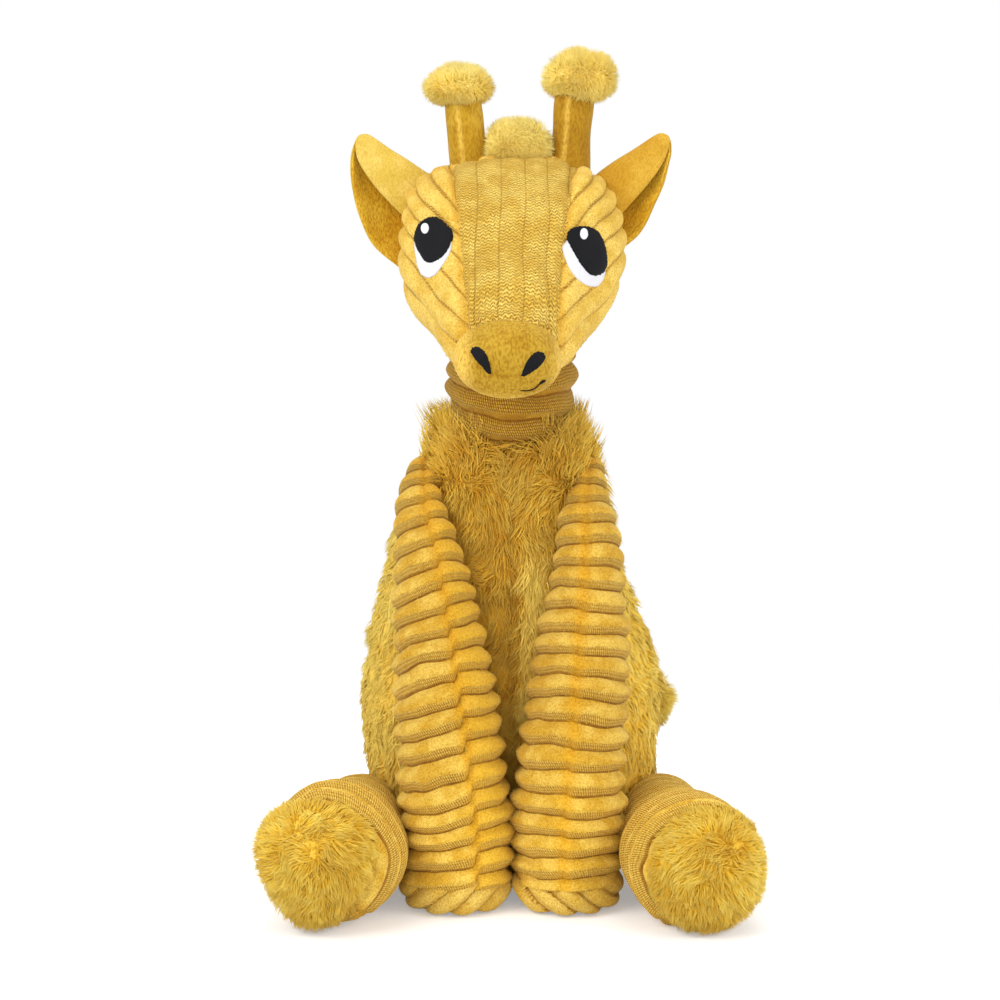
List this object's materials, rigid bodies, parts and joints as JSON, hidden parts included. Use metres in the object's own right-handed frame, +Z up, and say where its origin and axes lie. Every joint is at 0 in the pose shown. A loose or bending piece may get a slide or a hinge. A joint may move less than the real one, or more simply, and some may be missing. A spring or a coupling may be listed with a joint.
{
  "type": "plush giraffe",
  "caption": "Sitting plush giraffe with a furry body, ribbed floppy limbs, a nodding head, folding ears, stub horns with tufts and a swinging tail.",
  "frame": {"origin": "on the floor, on the flat seat of the sitting toy, in its plane of symmetry", "axes": "+Z up; the toy looks along -Y; its own left side is at +X"},
  "size_m": [0.1848, 0.1755, 0.324],
  "materials": {
    "gold_fur": "long soft pile, matte with a faint sheen",
    "gold_cord_cloth": "wide ribbed plush, matte",
    "gold_velour": "short smooth pile, matte with sheen",
    "amber_velour": "short smooth pile, darker lining",
    "stuffing": "loose white fibre",
    "pellet_cloth": "plain woven pouch",
    "black_thread": "satin stitch",
    "white_thread": "satin stitch"
  },
  "bodies": {
    "torso": {"torso_filling": "stuffing", "torso_front_left_panel": "gold_fur", "torso_front_right_panel": "gold_fur", "torso_back_left_panel": "gold_fur", "torso_back_right_panel": "gold_fur", "seat_panel": "gold_fur", "seat_pellet_pouch": "pellet_cloth"},
    "neck": {"neck_sleeve": "gold_cord_cloth", "neck_filling": "stuffing"},
    "head": {"head_filling": "stuffing", "forehead_panel": "gold_cord_cloth", "left_cheek_panel": "gold_cord_cloth", "right_cheek_panel": "gold_cord_cloth", "chin_panel": "gold_cord_cloth", "nape_panel": "gold_cord_cloth", "muzzle_panel": "gold_velour", "mane_tuft": "gold_fur", "left_horn": "gold_velour", "right_horn": "gold_velour", "left_horn_tuft": "gold_fur", "right_horn_tuft": "gold_fur", "left_eye_white": "white_thread", "right_eye_white": "white_thread", "left_pupil": "black_thread", "right_pupil": "black_thread", "left_eye_glint": "white_thread", "right_eye_glint": "white_thread", "left_nostril": "black_thread", "right_nostril": "black_thread", "smile_stitch": "black_thread"},
    "left_ear": {"left_ear_back": "gold_velour", "left_ear_lining": "amber_velour"},
    "right_ear": {"right_ear_back": "gold_velour", "right_ear_lining": "amber_velour"},
    "left_arm": {"left_arm_sleeve": "gold_cord_cloth", "left_arm_filling": "stuffing", "left_arm_sole": "gold_cord_cloth"},
    "right_arm": {"right_arm_sleeve": "gold_cord_cloth", "right_arm_filling": "stuffing", "right_arm_sole": "gold_cord_cloth"},
    "left_leg": {"left_leg_sleeve": "gold_cord_cloth", "left_leg_filling": "stuffing", "left_foot_cover": "gold_fur"},
    "right_leg": {"right_leg_sleeve": "gold_cord_cloth", "right_leg_filling": "stuffing", "right_foot_cover": "gold_fur"},
    "tail": {"tail_sleeve": "gold_cord_cloth", "tail_tuft": "gold_fur"}
  },
  "joints": [
    {"name": "neck_turn", "type": "hinge", "parent": "torso", "child": "neck", "pos_m": [0, -0.008, 0.178], "axis": [0, 0, 1], "range_deg": [-60, 60]},
    {"name": "head_nod", "type": "hinge", "parent": "neck", "child": "head", "pos_m": [0, -0.008, 0.212], "axis": [-1, 0, 0], "range_deg": [-4, 25]},
    {"name": "left_ear_fold", "type": "hinge", "parent": "head", "child": "left_ear", "pos_m": [0.04173, -0.02, 0.26474], "axis": [-0.4843, 0, 0.8749], "range_deg": [-20, 20], "stiffness_Nm_per_rad": 0.006},
    {"name": "right_ear_fold", "type": "hinge", "parent": "head", "child": "right_ear", "pos_m": [-0.04173, -0.02, 0.26474], "axis": [0.4843, 0, 0.8749], "range_deg": [-20, 20], "stiffness_Nm_per_rad": 0.006},
    {"name": "left_shoulder", "type": "hinge", "parent": "torso", "child": "left_arm", "pos_m": [0.038, -0.00981, 0.166], "axis": [-1, 0, 0], "range_deg": [0, 70]},
    {"name": "right_shoulder", "type": "hinge", "parent": "torso", "child": "right_arm", "pos_m": [-0.038, -0.00981, 0.166], "axis": [-1, 0, 0], "range_deg": [0, 70]},
    {"name": "left_hip", "type": "hinge", "parent": "torso", "child": "left_leg", "pos_m": [0.06, -0.006, 0.0242], "axis": [-1, 0, 0], "range_deg": [-90, 15]},
    {"name": "right_hip", "type": "hinge", "parent": "torso", "child": "right_leg", "pos_m": [-0.06, -0.006, 0.0242], "axis": [-1, 0, 0], "range_deg": [-90, 15]},
    {"name": "tail_swing", "type": "hinge", "parent": "torso", "child": "tail", "pos_m": [0.00184, 0.06372, 0.044], "axis": [0, 0, 1], "range_deg": [0, 80]}
  ]
}
